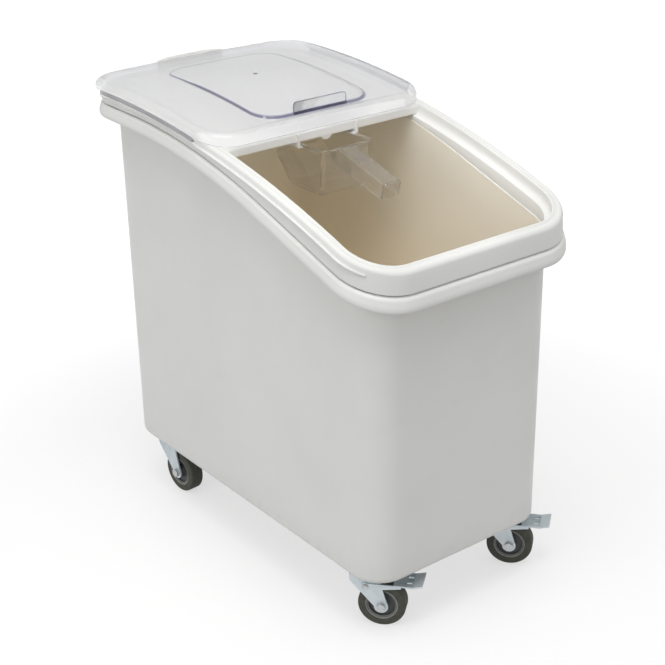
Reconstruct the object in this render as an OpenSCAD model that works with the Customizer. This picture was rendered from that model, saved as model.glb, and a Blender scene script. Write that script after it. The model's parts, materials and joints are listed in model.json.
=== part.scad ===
// Rolling flour bin: drafted plastic tub on four swivel casters, sloped top frame with a fixed rear deck,
// clear lid that slides along the curved side rails, clear scoop hung under the deck.
// Millimetres. +Z up, the low loading end faces -Y, origin on the floor under the middle of the bin.

/* [Tub] */
// Half width and half length of the tub's bottom, outside
bot_hx = 174;
bot_hy = 341;
// Outside corner radius at the bottom
bot_r = 50;
// Outward growth of each wall per millimetre of height
draft = 0.005;
wall = 5;
floor_t = 6;
// Rolled lip: reach beyond the bottom's outline, height and wall
lip_out = 34;
lip_h = 20;
lip_wall = 4;
// Height of the lip's underside at the rear, above the tub's own underside
tub_h = 581;

/* [Rim line of the tub] */
// Where its curve starts at the rear, the curve's radius, and the slope of the straight front part in degrees
rim_y0 = 225;
rim_r = 1170;
rim_slope = 16.9;
rim_steps = 24;

/* [Top frame] */
// Reach of the frame's outer face and of its opening beyond the bottom's outline
frame_out = 28;
open_out = 10;
// Inner sill: its face inside the bottom's outline and its depth below the frame's top
sill_in = 1;
sill_drop = 17;
frame_t = 3;
// Thickness of the frame's top, measured along the arc's radius
crest_t = 5;
// Shadow gap between frame skirt and lip
reveal = 1.5;
// Middle and radius of the arc that the frame's top and the lid rails follow, and its crest above the lip
arc_y = 268;
arc_r = 1821.5;
arc_up = 43.1;
// Front edge of the fixed deck, its thickness, its set-back below the frame's top and its apron
deck_y = -12;
deck_t = 3;
deck_set = 2;
apron_h = 16;
tab_r = 12;
rail_out = 3;
rail_top = 10;
rail_h = 3;
rail_end = 34;
groove_d = 1.2;
stop_w = 128;
stop_h = 18;
stop_t = 4;

/* [Lid] */
lid_t = 2.8;
// Running gap between lid and frame
lid_lift = 0.6;
// Height of the plate's underside above the rails
lid_up = 14;
lid_side = 6;
lid_r = 56;
lid_over = 3;
lid_short = 8;
skirt_t = 2.4;
skirt_start = 57;
// Depth of the skirt's inward foot below the rail
skirt_drop = 2.5;
foot_t = 3;
foot_gap = 1;
panel_hx = 106;
panel_front = 17;
panel_rear = 71;
panel_r = 40;
panel_h = 4;
// Upright pull on the panel's front edge
pull_hx = 50;
pull_h = 18;
pull_t = 3;
pull_r = 6;
// Moulding gate mark: radius and distance behind the panel's middle
gate_r = 4;
gate_back = 28;

/* [Scoop] */
scoop_hx = 45;
scoop_l = 128;
scoop_d = 76;
// Distance of the scoop's front wall before the deck's edge, and of its rim below the deck's edge
scoop_fore = 50;
scoop_drop = 18.4;
scoop_t = 2.2;
flange_w = 8;
flange_t = 2.4;
handle_hx = 17;
handle_l = 112;
handle_h = 27;
handle_slope = 14;

/* [Casters] */
// Swivel axes, set in from the tub's bottom edges
cast_in = 40;
front_in = 73;
rear_in = 67;
// Swivel angle each caster stands at, degrees
turn_fl = 40;
turn_fr = 40;
turn_rl = 4;
turn_rr = -6;
wheel_r = 37.5;
wheel_w = 24;
core_r = 25;
tyre_edge = 3;
trail = 27;
// Room over the wheel and beside it
wheel_top = 15;
wheel_side = 3;
plate_a = 64;
plate_t = 3;
hole_in = 9;
screw_r = 3;
screw_l = 12;
boss_r = 9;
race_h = 6.5;
race_r = 19.5;
sheet = 2.5;
// Pressed fork: length of its crown, depth of its flange and radius of its feet
crown_l = 44;
crown_h = 11.5;
leg_r = 11;
hub_r = 10;
bush_r = 6;
king_r = 5;
axle_r = 4;
axle_end = 9;
// Pedal pin: radius, place behind the swivel axis and below the crown
pin_r = 3;
pin_y = -3;
pin_drop = 20.5;
cheek_gap = 0.3;
cheek_t = 2;
tread_y0 = 46;
tread_y1 = 76;
tread_l = 91;
// Running clearance of turning pieces
run = 0.05;

/* [Hidden] */
lip_hx = bot_hx + lip_out;
lip_hy = bot_hy + lip_out;
lip_r = bot_r + lip_out;
frame_hx = bot_hx + frame_out;
frame_hy = bot_hy + frame_out;
frame_r = bot_r + frame_out;
open_hx = bot_hx + open_out;
open_hy = bot_hy + open_out;
open_r = bot_r + open_out;
sill_hx = bot_hx - sill_in;
sill_hy = bot_hy - sill_in;
sill_r = bot_r - sill_in;
lid_hx = frame_hx + lid_side;
lid_front = deck_y - lid_over;
lid_rear = frame_hy - lid_short;
skirt_front = lid_front + skirt_start;
panel_y0 = lid_front + panel_front;
panel_y1 = lid_rear - panel_rear;
cast_x = bot_hx - cast_in;
front_y = front_in - bot_hy;
rear_y = bot_hy - rear_in;
crown_z = 2 * wheel_r + wheel_top + sheet;
bot_z = crown_z + race_h + plate_t;
rim_z = bot_z + tub_h;
arc_z = rim_z + arc_up - arc_r;
leg_in = wheel_w / 2 + wheel_side;
hole_a = plate_a / 2 - hole_in;
pin_z = crown_z - pin_drop;
deck_z = arc_z + sqrt(arc_r * arc_r - (deck_y - arc_y) * (deck_y - arc_y));
lid_top = lid_up + lid_t;
rear_z = arc_z + sqrt(arc_r * arc_r - (frame_hy - arc_y) * (frame_hy - arc_y));
scoop_y0 = deck_y - scoop_fore;
scoop_y1 = scoop_y0 + scoop_l;
scoop_top = deck_z - scoop_drop;
scoop_bot = scoop_top - scoop_d;
// Sizes that cutters and layers run past the part
far = 2 * bot_hy;
tall = 2 * rim_z;

/* [Output] */
$fn = 96;

C_WHITE = [0.91, 0.91, 0.89];
C_CLEAR = [0.82, 0.85, 0.90, 0.45];
C_ZINC = [0.66, 0.71, 0.73];
C_STEEL = [0.55, 0.57, 0.59];
C_TYRE = [0.27, 0.27, 0.24];
C_CORE = [0.34, 0.35, 0.35];

// Shared shapes

// Rectangle with rounded corners, half sizes hx and hy
module plan(hx, hy, r) {
    square([2 * hx, 2 * (hy - r)], center = true);
    square([2 * (hx - r), 2 * hy], center = true);
    for (sx = [-1, 1], sy = [-1, 1])
        translate([sx * (hx - r), sy * (hy - r)]) circle(r = r);
}

// Drafted box with conical corners standing on z0
module drafted(hx, hy, r, z0, h) {
    g = draft * h;
    along_x(2 * (hx - r))
        polygon([[-hy, z0], [hy, z0], [hy + g, z0 + h], [-hy - g, z0 + h]]);
    rotate([0, 0, 90]) along_x(2 * (hy - r))
        polygon([[-hx, z0], [hx, z0], [hx + g, z0 + h], [-hx - g, z0 + h]]);
    for (sx = [-1, 1], sy = [-1, 1])
        translate([sx * (hx - r), sy * (hy - r), z0]) cylinder(r1 = r, r2 = r + g, h = h);
}

// Sweeps a y-z outline along x, centred
module along_x(w) {
    rotate([90, 0, 90]) translate([0, 0, -w / 2]) linear_extrude(w) children();
}

// Point of the tub's rim line at slope angle a, raised square to itself by o
function rim_point(a, o) = [rim_y0 - (rim_r + o) * sin(a), rim_z - rim_r + (rim_r + o) * cos(a)];

// Region of the y-z plane below the tub's rim line raised square to itself by o
module below_rim(o) {
    front = rim_point(rim_slope, o);
    run_out = far + front[0];
    polygon(concat(
        [[-far, 0], [-far, max(1, front[1] - run_out * tan(rim_slope))]],
        [for (i = [rim_steps:-1:0]) rim_point(rim_slope * i / rim_steps, o)],
        [[far, rim_z + o], [far, 0]]));
}

// Region of the y-z plane below the rail arc raised by o
module below_arc(o) {
    intersection() {
        translate([arc_y, arc_z]) circle(r = arc_r + o, $fn = 1440);
        translate([-far, 0]) square([2 * far, tall]);
    }
}

// Layer between two offsets of the rail arc
module arc_layer(o0, o1) {
    difference() {
        below_arc(o1);
        below_arc(o0);
    }
}

module upright(z0, z1) {
    translate([0, 0, z0]) linear_extrude(z1 - z0) children();
}

// White body

module tub() color(C_WHITE) {
    difference() {
        union() {
            intersection() {
                drafted(bot_hx, bot_hy, bot_r, bot_z, rim_z);
                along_x(far) below_rim(lip_h);
            }
            lip();
        }
        tub_cavity();
        at_casters() screw_spots() screw_hole();
    }
    difference() {
        at_casters() screw_spots() upright(bot_z + floor_t / 2, bot_z + screw_l + 4) circle(r = boss_r, $fn = 48);
        at_casters() screw_spots() screw_hole();
    }
}

module tub_cavity() {
    drafted(bot_hx - wall, bot_hy - wall, bot_r - wall, bot_z + floor_t, rim_z);
}

// Blind hole for one caster screw
module screw_hole() {
    upright(bot_z - 1, bot_z + screw_l + 1) circle(r = screw_r, $fn = 32);
}

// Rolled lip: top wall and outer apron, hollow underneath
module lip() {
    difference() {
        intersection() {
            upright(0, tall) plan(lip_hx, lip_hy, lip_r);
            along_x(far) difference() {
                below_rim(lip_h);
                below_rim(0);
            }
        }
        intersection() {
            upright(0, tall) plan(lip_hx - lip_wall, lip_hy - lip_wall, lip_r - lip_wall);
            along_x(far) below_rim(lip_h - lip_wall);
        }
        tub_cavity();
    }
}

module top_frame() color(C_WHITE) {
    difference() {
        union() {
            intersection() {
                upright(0, tall) plan(frame_hx, frame_hy, frame_r);
                along_x(far) below_arc(0);
            }
            side_rails();
        }
        frame_channel();
        frame_mouth();
        frame_groove();
        along_x(far) below_rim(lip_h);
        difference() {
            along_x(far) below_rim(lip_h + reveal);
            upright(0, tall) plan(frame_hx - 2 * frame_t, frame_hy - 2 * frame_t, frame_r - 2 * frame_t);
        }
    }
    deck_front();
    scoop_rails();
    rear_stop();
}

// Thin guide rib along each long side, running out round the front corner
module side_rails() {
    intersection() {
        upright(0, tall) plan(frame_hx + rail_out, frame_hy - 1, frame_r);
        along_x(far) arc_layer(-rail_top - rail_h, -rail_top);
        translate([-far / 2, rail_end - frame_hy, 0]) cube([far, 2 * (frame_hy - rail_end), tall]);
    }
}

// Hollow under the frame's top, between its outer skirt and the stepped wall of the opening
module frame_channel() {
    channel_step(open_hx, open_hy, open_r, -crest_t);
    channel_step(sill_hx, sill_hy, sill_r, -sill_drop - frame_t);
}

module channel_step(hx, hy, r, o) {
    intersection() {
        upright(0, tall) difference() {
            plan(frame_hx - frame_t, frame_hy - frame_t, frame_r - frame_t);
            plan(hx + frame_t, hy + frame_t, r + frame_t);
        }
        along_x(far) below_arc(o);
    }
}

// Opening in front of the deck, the space under the deck, the deck's set-back and the opening below the sill
module frame_mouth() {
    intersection() {
        upright(0, tall) plan(open_hx, open_hy, open_r);
        union() {
            intersection() {
                translate([-far / 2, -far, 0]) cube([far, far + deck_y, tall]);
                along_x(far) arc_layer(-sill_drop, apron_h);
            }
            along_x(far) arc_layer(-sill_drop, -deck_set - deck_t);
            along_x(far) arc_layer(-deck_set, apron_h);
        }
    }
    intersection() {
        upright(0, tall) plan(sill_hx, sill_hy, sill_r);
        along_x(far) below_arc(-deck_set - deck_t);
    }
}

// Shallow groove round the front part of the frame's top
module frame_groove() {
    intersection() {
        upright(0, tall) difference() {
            plan(frame_hx - 3 * frame_t, frame_hy - 3 * frame_t, frame_r - 3 * frame_t);
            plan(open_hx + frame_t, open_hy + frame_t, open_r + frame_t);
        }
        along_x(far) arc_layer(-groove_d, crest_t);
        translate([-far / 2, -far, 0]) cube([far, far + deck_y, tall]);
    }
}

// Apron along the deck's front edge with the half-round tab in the middle
module deck_front() {
    intersection() {
        translate([-open_hx - frame_t / 2, deck_y, 0]) cube([2 * open_hx + frame_t, frame_t, tall]);
        along_x(far) arc_layer(-apron_h, -deck_set);
    }
    intersection() {
        translate([0, deck_y + frame_t, deck_z - apron_h + tab_r / 2])
            rotate([90, 0, 0]) cylinder(r = tab_r, h = frame_t);
        along_x(far) below_arc(-apron_h / 2);
    }
}

// Angle rails under the deck that carry the scoop by its flanges
module scoop_rails() {
    foot = scoop_top - flange_t - frame_t;
    fore = deck_y - 2 * frame_t;
    reach = scoop_y1 + frame_t + 0.5 - fore;
    for (s = [0, 1]) mirror([s, 0, 0]) {
        intersection() {
            translate([scoop_hx + flange_w + 1, fore, foot]) cube([frame_t, reach, tall]);
            along_x(far) below_arc(-deck_set - deck_t / 2);
        }
        translate([scoop_hx + 2, fore, foot]) cube([flange_w, reach, frame_t]);
        translate([scoop_hx + 2, scoop_y1 + 0.5, foot]) cube([flange_w, frame_t, 4 * frame_t]);
    }
}

// Upstand in the middle of the rear edge behind the lid
module rear_stop() {
    difference() {
        translate([-stop_w / 2, frame_hy - 1.5 - stop_t, rear_z - apron_h])
            cube([stop_w, stop_t, apron_h + stop_h]);
        along_x(far) below_arc(-1);
    }
}

// Clear mouldings

module lid_plan(o) {
    translate([0, (lid_front + lid_rear) / 2])
        plan(lid_hx - o, (lid_rear - lid_front) / 2 - o, lid_r - o);
}

module panel_plan(o) {
    translate([0, (panel_y0 + panel_y1) / 2])
        plan(panel_hx - o, (panel_y1 - panel_y0) / 2 - o, panel_r - o);
}

// Upright slab of a plan between two offsets of the rail arc
module arc_slab(o0, o1) {
    intersection() {
        upright(0, tall) children();
        along_x(far) arc_layer(o0, o1);
    }
}

// Shallow tray turned upside down, with a raised panel
module lid() color(C_CLEAR) {
    difference() {
        union() {
            arc_slab(lid_lift, lid_top) lid_plan(0);
            arc_slab(lid_up, lid_top + panel_h) panel_plan(0);
            pull();
            gate_mark();
        }
        arc_slab(-crest_t, lid_up) lid_plan(lid_t);
        arc_slab(-crest_t, lid_up + panel_h) panel_plan(lid_t);
    }
    for (s = [0, 1]) mirror([s, 0, 0]) lid_skirt();
}

// Upright finger pull with rounded top corners, standing on the panel's front wall
module pull() {
    foot = arc_z + arc_r + lid_up - (arc_y - panel_y0) * (arc_y - panel_y0) / (2 * arc_r);
    rise = lid_t + panel_h + pull_h;
    translate([0, panel_y0 + pull_t, foot]) rotate([90, 0, 0]) linear_extrude(pull_t) {
        translate([-pull_hx, 0]) square([2 * pull_hx, rise - pull_r]);
        translate([pull_r - pull_hx, 0]) square([2 * (pull_hx - pull_r), rise]);
        for (s = [-1, 1]) translate([s * (pull_hx - pull_r), rise - pull_r]) circle(r = pull_r, $fn = 32);
    }
}

// Low side skirt with an inward foot that keeps the lid between the rails
module lid_skirt() {
    length = lid_rear - lid_r - skirt_front;
    intersection() {
        translate([lid_hx - skirt_t, skirt_front, 0]) cube([skirt_t, length, tall]);
        along_x(far) arc_layer(-skirt_drop - foot_t, lid_lift + 1);
    }
    intersection() {
        translate([frame_hx + foot_gap, skirt_front, 0]) cube([lid_side - foot_gap, length, tall]);
        along_x(far) arc_layer(-skirt_drop - foot_t, -skirt_drop);
    }
}

module gate_mark() {
    arc_slab(lid_up + panel_h + 1, lid_top + panel_h + 0.6)
        translate([0, (panel_y0 + panel_y1) / 2 + gate_back]) circle(r = gate_r, $fn = 32);
}

module scoop() color(C_CLEAR) {
    difference() {
        union() {
            along_x(2 * scoop_hx) scoop_side(0);
            translate([-scoop_hx - flange_w, scoop_y0, scoop_top - flange_t])
                cube([2 * (scoop_hx + flange_w), scoop_l, flange_t]);
            scoop_handle();
        }
        along_x(2 * (scoop_hx - scoop_t)) scoop_side(scoop_t);
        translate([-scoop_hx + scoop_t, scoop_y0 + scoop_t, scoop_top - 2 * flange_t])
            cube([2 * (scoop_hx - scoop_t), 2 * scoop_l, 4 * flange_t]);
    }
}

// Side outline of the bowl, open toward the rear, or of its inside with walls t
module scoop_side(t) {
    past = t > 0 ? scoop_d / 2 : 0;
    polygon([[scoop_y0 + t, scoop_top + past],
        [scoop_y0 + t + scoop_d / 8, scoop_bot + t],
        [scoop_y0 + 2 * scoop_l / 3 + past, scoop_bot + t],
        [scoop_y1 + 2 * past, scoop_top - 0.4 * scoop_d + t],
        [scoop_y1 + 2 * past, scoop_top + past]]);
}

// Hollow box handle, open underneath, sloping down to the front
module scoop_handle() {
    translate([0, scoop_y0 + scoop_t, scoop_top - flange_t]) rotate([handle_slope, 0, 0])
        difference() {
            translate([-handle_hx, -handle_l, -handle_h]) cube([2 * handle_hx, handle_l, handle_h]);
            translate([-handle_hx + scoop_t, -handle_l + scoop_t, -handle_h - 1])
                cube([2 * (handle_hx - scoop_t), handle_l, handle_h + 1 - scoop_t]);
        }
}

// Casters

module at_casters() {
    for (sx = [-1, 1]) {
        translate([sx * cast_x, front_y, 0]) children();
        translate([sx * cast_x, rear_y, 0]) children();
    }
}

module screw_spots() {
    for (sx = [-1, 1], sy = [-1, 1]) translate([sx * hole_a, sy * hole_a, 0]) children();
}

module place(sx, y, turn) {
    translate([sx * cast_x, y, 0]) rotate([0, 0, turn]) children();
}

// Plate with the race cup under it
module plate() color(C_ZINC) {
    difference() {
        union() {
            upright(bot_z - plate_t, bot_z) plan(plate_a / 2, plate_a / 2, 2 * plate_t);
            upright(crown_z + 0.4, bot_z - plate_t) difference() {
                circle(r = race_r + 4.5);
                circle(r = race_r + 1.5);
            }
        }
        upright(0, bot_z + 1) circle(r = king_r);
        screw_spots() upright(0, bot_z + 1) circle(r = screw_r + 0.2, $fn = 32);
    }
}

module kingpin() color(C_STEEL) {
    head = crown_z - sheet - run;
    upright(head, bot_z) circle(r = king_r);
    upright(head - 3, head) circle(r = king_r + 3.5);
}

module race() color(C_STEEL) {
    upright(crown_z, bot_z - plate_t - run) difference() {
        circle(r = race_r);
        circle(r = race_r - 7.5);
    }
}

// Pressed fork: crown and two legs reaching back to the axle
module fork(brake) color(C_ZINC) {
    difference() {
        union() {
            upright(crown_z - sheet, crown_z) {
                circle(r = race_r + 5.5);
                square([2 * (leg_in + sheet), crown_l], center = true);
            }
            for (s = [0, 1]) mirror([s, 0, 0]) {
                translate([leg_in + sheet / 2, 0, 0]) along_x(sheet) fork_leg();
                translate([leg_in - 1, crown_l / 2 - sheet, crown_z - crown_h]) cube([1 + sheet, sheet, crown_h]);
            }
        }
        upright(0, bot_z) circle(r = king_r + run);
        at_axle() cylinder(r = axle_r + run, h = 4 * wheel_w, center = true);
        if (brake)
            at_pin() cylinder(r = pin_r + run, h = 4 * wheel_w, center = true);
    }
}

module fork_leg() {
    half = crown_l / 2;
    polygon([[-half, crown_z], [half, crown_z], [half, crown_z - crown_h],
        [leg_r - trail, wheel_r], [-leg_r - trail, wheel_r]]);
    translate([-trail, wheel_r]) circle(r = leg_r);
}

module at_axle() {
    translate([0, -trail, wheel_r]) rotate([0, 90, 0]) children();
}

module at_pin() {
    translate([0, pin_y, pin_z]) rotate([0, 90, 0]) children();
}

module core() color(C_CORE) {
    at_axle() difference() {
        union() {
            cylinder(r = core_r, h = wheel_w - 4, center = true);
            cylinder(r = hub_r, h = 2 * leg_in - 1, center = true);
        }
        cylinder(r = bush_r + run, h = 4 * wheel_w, center = true);
        for (s = [-1, 1]) translate([0, 0, s * (wheel_w / 2 - 2)]) difference() {
            cylinder(r = core_r - 4, h = 6, center = true);
            cylinder(r = hub_r + 2, h = 8, center = true);
        }
    }
}

module tyre() color(C_TYRE) {
    band = wheel_r - core_r;
    at_axle() rotate_extrude() difference() {
        union() {
            translate([core_r, -wheel_w / 2]) square([band - tyre_edge, wheel_w]);
            translate([core_r, -wheel_w / 2 + tyre_edge]) square([band, wheel_w - 2 * tyre_edge]);
            for (s = [-1, 1]) translate([wheel_r - tyre_edge, s * (wheel_w / 2 - tyre_edge)])
                circle(r = tyre_edge, $fn = 32);
        }
        translate([0, -wheel_w]) square([core_r, 2 * wheel_w]);
    }
}

module bush() color(C_STEEL) {
    at_axle() difference() {
        cylinder(r = bush_r, h = 2 * leg_in, center = true);
        cylinder(r = axle_r + run, h = 4 * wheel_w, center = true);
    }
}

// Hexagon-headed axle bolt
module axle() color(C_STEEL) {
    at_axle() translate([0, 0, -leg_in - sheet]) {
        cylinder(r = axle_r, h = 2 * (leg_in + sheet) + axle_end);
        translate([0, 0, -5]) cylinder(r = axle_r + 3.5, h = 5, $fn = 6);
    }
}

module nut() color(C_STEEL) {
    at_axle() translate([0, 0, leg_in + sheet]) difference() {
        cylinder(r = axle_r + 3.5, h = axle_end - 2.5, $fn = 6);
        translate([0, 0, -1]) cylinder(r = axle_r, h = axle_end);
    }
}

// Toe brake: cheeks outside the fork, slotted tread bent up at its tip, shoe above the tyre
module pedal() color(C_ZINC) {
    cheek = leg_in + sheet + cheek_gap + cheek_t / 2;
    under = pin_z + 5;
    top = under + sheet;
    difference() {
        union() {
            for (s = [0, 1]) mirror([s, 0, 0]) translate([cheek, 0, 0]) along_x(cheek_t) {
                translate([pin_y, pin_z]) circle(r = pin_r + 4);
                polygon([[pin_y - 2, pin_z - 6], [pin_y - 2, pin_z + 6],
                    [-tread_y0 - 12, under + 2], [-tread_y0 - 12, under - 3]]);
            }
            along_x(2 * cheek + cheek_t) polygon([[-tread_y0, under], [-tread_y0, top], [-tread_y1, top],
                [-tread_l, top + 3.5], [-tread_l, under + 3.5], [-tread_y1, under]]);
            translate([-wheel_w / 2 + 2, -tread_y0 - 16, under - 4]) cube([wheel_w - 4, 6, 5]);
        }
        at_pin() cylinder(r = pin_r + run, h = 4 * wheel_w, center = true);
        for (s = [-1, 1]) translate([s * 8, -tread_y1 + 6, 0]) upright(pin_z, bot_z) square([5, 9], center = true);
    }
}

module pedal_pin() color(C_STEEL) {
    out = leg_in + sheet + cheek_gap + cheek_t;
    at_pin() {
        cylinder(r = pin_r, h = 2 * out + 4, center = true);
        for (s = [-1, 1]) translate([0, 0, s * (out + 1.2)]) cylinder(r = pin_r + 1.6, h = 2, center = true);
    }
}

// Four plate screws driven up into the tub's floor bosses
module screws(sx, y) color(C_STEEL) {
    translate([sx * cast_x, y, 0]) screw_spots() {
        upright(bot_z - plate_t, bot_z + screw_l) circle(r = screw_r, $fn = 32);
        upright(bot_z - plate_t - 4, bot_z - plate_t) circle(r = screw_r + 2.6, $fn = 6);
    }
}

tub();
top_frame();
lid();
scoop();

place(-1, front_y, 0) plate();  // plate_fl
place(-1, front_y, turn_fl) kingpin();  // kingpin_fl
place(-1, front_y, turn_fl) race();  // race_fl
place(-1, front_y, turn_fl) fork(true);  // fork_fl
place(-1, front_y, turn_fl) core();  // core_fl
place(-1, front_y, turn_fl) tyre();  // tyre_fl
place(-1, front_y, turn_fl) bush();  // bush_fl
place(-1, front_y, turn_fl) axle();  // axle_fl
place(-1, front_y, turn_fl) nut();  // nut_fl
place(-1, front_y, turn_fl) pedal();  // pedal_fl
place(-1, front_y, turn_fl) pedal_pin();  // pedal_pin_fl
screws(-1, front_y);  // screws_fl

place(1, front_y, 0) plate();  // plate_fr
place(1, front_y, turn_fr) kingpin();  // kingpin_fr
place(1, front_y, turn_fr) race();  // race_fr
place(1, front_y, turn_fr) fork(true);  // fork_fr
place(1, front_y, turn_fr) core();  // core_fr
place(1, front_y, turn_fr) tyre();  // tyre_fr
place(1, front_y, turn_fr) bush();  // bush_fr
place(1, front_y, turn_fr) axle();  // axle_fr
place(1, front_y, turn_fr) nut();  // nut_fr
place(1, front_y, turn_fr) pedal();  // pedal_fr
place(1, front_y, turn_fr) pedal_pin();  // pedal_pin_fr
screws(1, front_y);  // screws_fr

place(-1, rear_y, 0) plate();  // plate_rl
place(-1, rear_y, turn_rl) kingpin();  // kingpin_rl
place(-1, rear_y, turn_rl) race();  // race_rl
place(-1, rear_y, turn_rl) fork(false);  // fork_rl
place(-1, rear_y, turn_rl) core();  // core_rl
place(-1, rear_y, turn_rl) tyre();  // tyre_rl
place(-1, rear_y, turn_rl) bush();  // bush_rl
place(-1, rear_y, turn_rl) axle();  // axle_rl
place(-1, rear_y, turn_rl) nut();  // nut_rl
screws(-1, rear_y);  // screws_rl

place(1, rear_y, 0) plate();  // plate_rr
place(1, rear_y, turn_rr) kingpin();  // kingpin_rr
place(1, rear_y, turn_rr) race();  // race_rr
place(1, rear_y, turn_rr) fork(false);  // fork_rr
place(1, rear_y, turn_rr) core();  // core_rr
place(1, rear_y, turn_rr) tyre();  // tyre_rr
place(1, rear_y, turn_rr) bush();  // bush_rr
place(1, rear_y, turn_rr) axle();  // axle_rr
place(1, rear_y, turn_rr) nut();  // nut_rr
screws(1, rear_y);  // screws_rr
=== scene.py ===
"""Dresses the rolling flour bin: moulded tub and top frame, clear lid and scoop, zinc casters."""
import json
import math

import bmesh
import bpy
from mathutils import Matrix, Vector


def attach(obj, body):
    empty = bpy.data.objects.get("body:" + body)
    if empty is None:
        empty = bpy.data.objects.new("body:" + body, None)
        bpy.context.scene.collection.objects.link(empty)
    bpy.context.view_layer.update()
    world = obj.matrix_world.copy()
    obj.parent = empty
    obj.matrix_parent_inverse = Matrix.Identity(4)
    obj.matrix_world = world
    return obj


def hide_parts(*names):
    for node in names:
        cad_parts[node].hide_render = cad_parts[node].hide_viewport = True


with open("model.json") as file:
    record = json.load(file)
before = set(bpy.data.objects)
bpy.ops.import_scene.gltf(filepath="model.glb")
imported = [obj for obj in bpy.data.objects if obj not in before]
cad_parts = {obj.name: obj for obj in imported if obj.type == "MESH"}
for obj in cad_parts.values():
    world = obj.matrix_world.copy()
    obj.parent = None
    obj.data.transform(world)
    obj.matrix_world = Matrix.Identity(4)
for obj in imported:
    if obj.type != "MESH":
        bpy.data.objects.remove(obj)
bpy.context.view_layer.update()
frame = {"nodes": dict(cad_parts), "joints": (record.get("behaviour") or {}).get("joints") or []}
NODES = frame["nodes"]
JOINTS = {j["name"]: j for j in frame["joints"]}
CASTERS = ("fl", "fr", "rl", "rr")
SIDES = ((-1, "left"), (1, "right"))

# Sizes in metres, as in the part's source
BOT_HX, BOT_HY, BOT_R, BOT_Z = 0.174, 0.341, 0.050, 0.102
TUB_H, DRAFT, WALL, FLOOR_T = 0.581, 0.005, 0.005, 0.006
BOSS_R, BOSS_H, SCREW_A = 0.009, 0.016, 0.023
LIP_OUT, LIP_H, LIP_WALL = 0.034, 0.020, 0.004
RIM_Y0, RIM_R, RIM_SLOPE = 0.225, 1.170, math.radians(16.9)
RIM_Z = BOT_Z + TUB_H
ARC_Y, ARC_R, ARC_UP = 0.268, 1.8215, 0.0431
ARC_Z = RIM_Z + ARC_UP - ARC_R
FRAME_OUT, FRAME_IN, FRAME_T, CREST_T, REVEAL = 0.028, 0.010, 0.003, 0.005, 0.0015
SILL_IN, SILL_DROP = -0.001, 0.017
DECK_Y, DECK_T, DECK_SET, DECK_DROP = -0.012, 0.003, 0.002, 0.016
TAB_R = 0.012
RAIL_TOP, RAIL_H, RAIL_OUT, RAIL_END_Y = 0.010, 0.003, 0.003, -0.335
STOP_HX, STOP_T = 0.064, 0.004
LID_HX, LID_FRONT, LID_REAR, LID_R = 0.208, -0.015, 0.361, 0.056
LID_LIFT, LID_UP, LID_T = 0.0006, 0.014, 0.0028
SKIRT_FRONT, SKIRT_LOW, SKIRT_T = 0.042, -0.0055, 0.0024
FOOT_T, FOOT_GAP = 0.003, 0.001
PANEL_HX, PANEL_Y0, PANEL_Y1, PANEL_R, PANEL_H = 0.106, 0.002, 0.290, 0.040, 0.004
PULL_HX, PULL_T, PULL_R = 0.050, 0.003, 0.006
GATE_Y, GATE_R = 0.174, 0.004
SCOOP_HX, SCOOP_D, SCOOP_L, SCOOP_T = 0.045, 0.076, 0.128, 0.0022
SCOOP_FORE, SCOOP_DROP = 0.050, 0.0184
SCOOP_Y0 = DECK_Y - SCOOP_FORE
SCOOP_Y1 = SCOOP_Y0 + SCOOP_L
FLANGE_W, FLANGE_T = 0.008, 0.0024
HANDLE_HX, HANDLE_L, HANDLE_H, HANDLE_SLOPE = 0.017, 0.112, 0.027, math.radians(14)
CORE_R, WHEEL_W = 0.025, 0.024

# Sizes of the scene's own: the lid's raised front, crown and round shoulders, and its lower pull
LID_TILT, LID_CROWN, LID_SHOULDER = 0.004, 0.003, 0.011
PULL_H = 0.015


# Heights of the rim and of the rails

def rim(y, raised=0.0):
    """Height of the tub's rim line at y, raised square to itself."""
    tangent_y = RIM_Y0 - RIM_R * math.sin(RIM_SLOPE)
    if y >= RIM_Y0:
        return RIM_Z + raised
    if y >= tangent_y:
        r = RIM_R + raised
        return RIM_Z - RIM_R + math.sqrt(r * r - (y - RIM_Y0) ** 2)
    tangent_z = RIM_Z - RIM_R * (1 - math.cos(RIM_SLOPE))
    return tangent_z + (y - tangent_y) * math.tan(RIM_SLOPE) + raised / math.cos(RIM_SLOPE)


def arc(y, raised=0.0):
    """Height of the rail arc at y, raised along its radius."""
    r = ARC_R + raised
    return ARC_Z + math.sqrt(r * r - (y - ARC_Y) ** 2)


DECK_Z = arc(DECK_Y)
SCOOP_TOP = DECK_Z - SCOOP_DROP


# Mesh helpers

def quarter_turn(steps):
    """Angles of a quarter turn, both ends included."""
    return [math.pi / 2 * i / steps for i in range(steps + 1)]


def full_turn(sides):
    """Angles once round a circle."""
    return [2 * math.pi * i / sides for i in range(sides)]


def quarter(out0, z0, out1, z1, steps=5, first="out"):
    """Offsets and heights of a rounded corner from one point to the next."""
    points = []
    for a in quarter_turn(steps):
        s, c = math.sin(a), 1 - math.cos(a)
        k, m = (s, c) if first == "out" else (c, s)
        points.append((out0 + (out1 - out0) * k, z0 + (z1 - z0) * m))
    return points


def round_corner(hx, top, r, steps):
    """Upper left corner of an upright outline, from its side to its top."""
    return [(-hx + r - r * math.cos(a), top - r + r * math.sin(a)) for a in quarter_turn(steps)]


def mirrored(side):
    """One side of an outline followed by its mirror image."""
    return side + [(-x, z) for x, z in reversed(side)]


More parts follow.
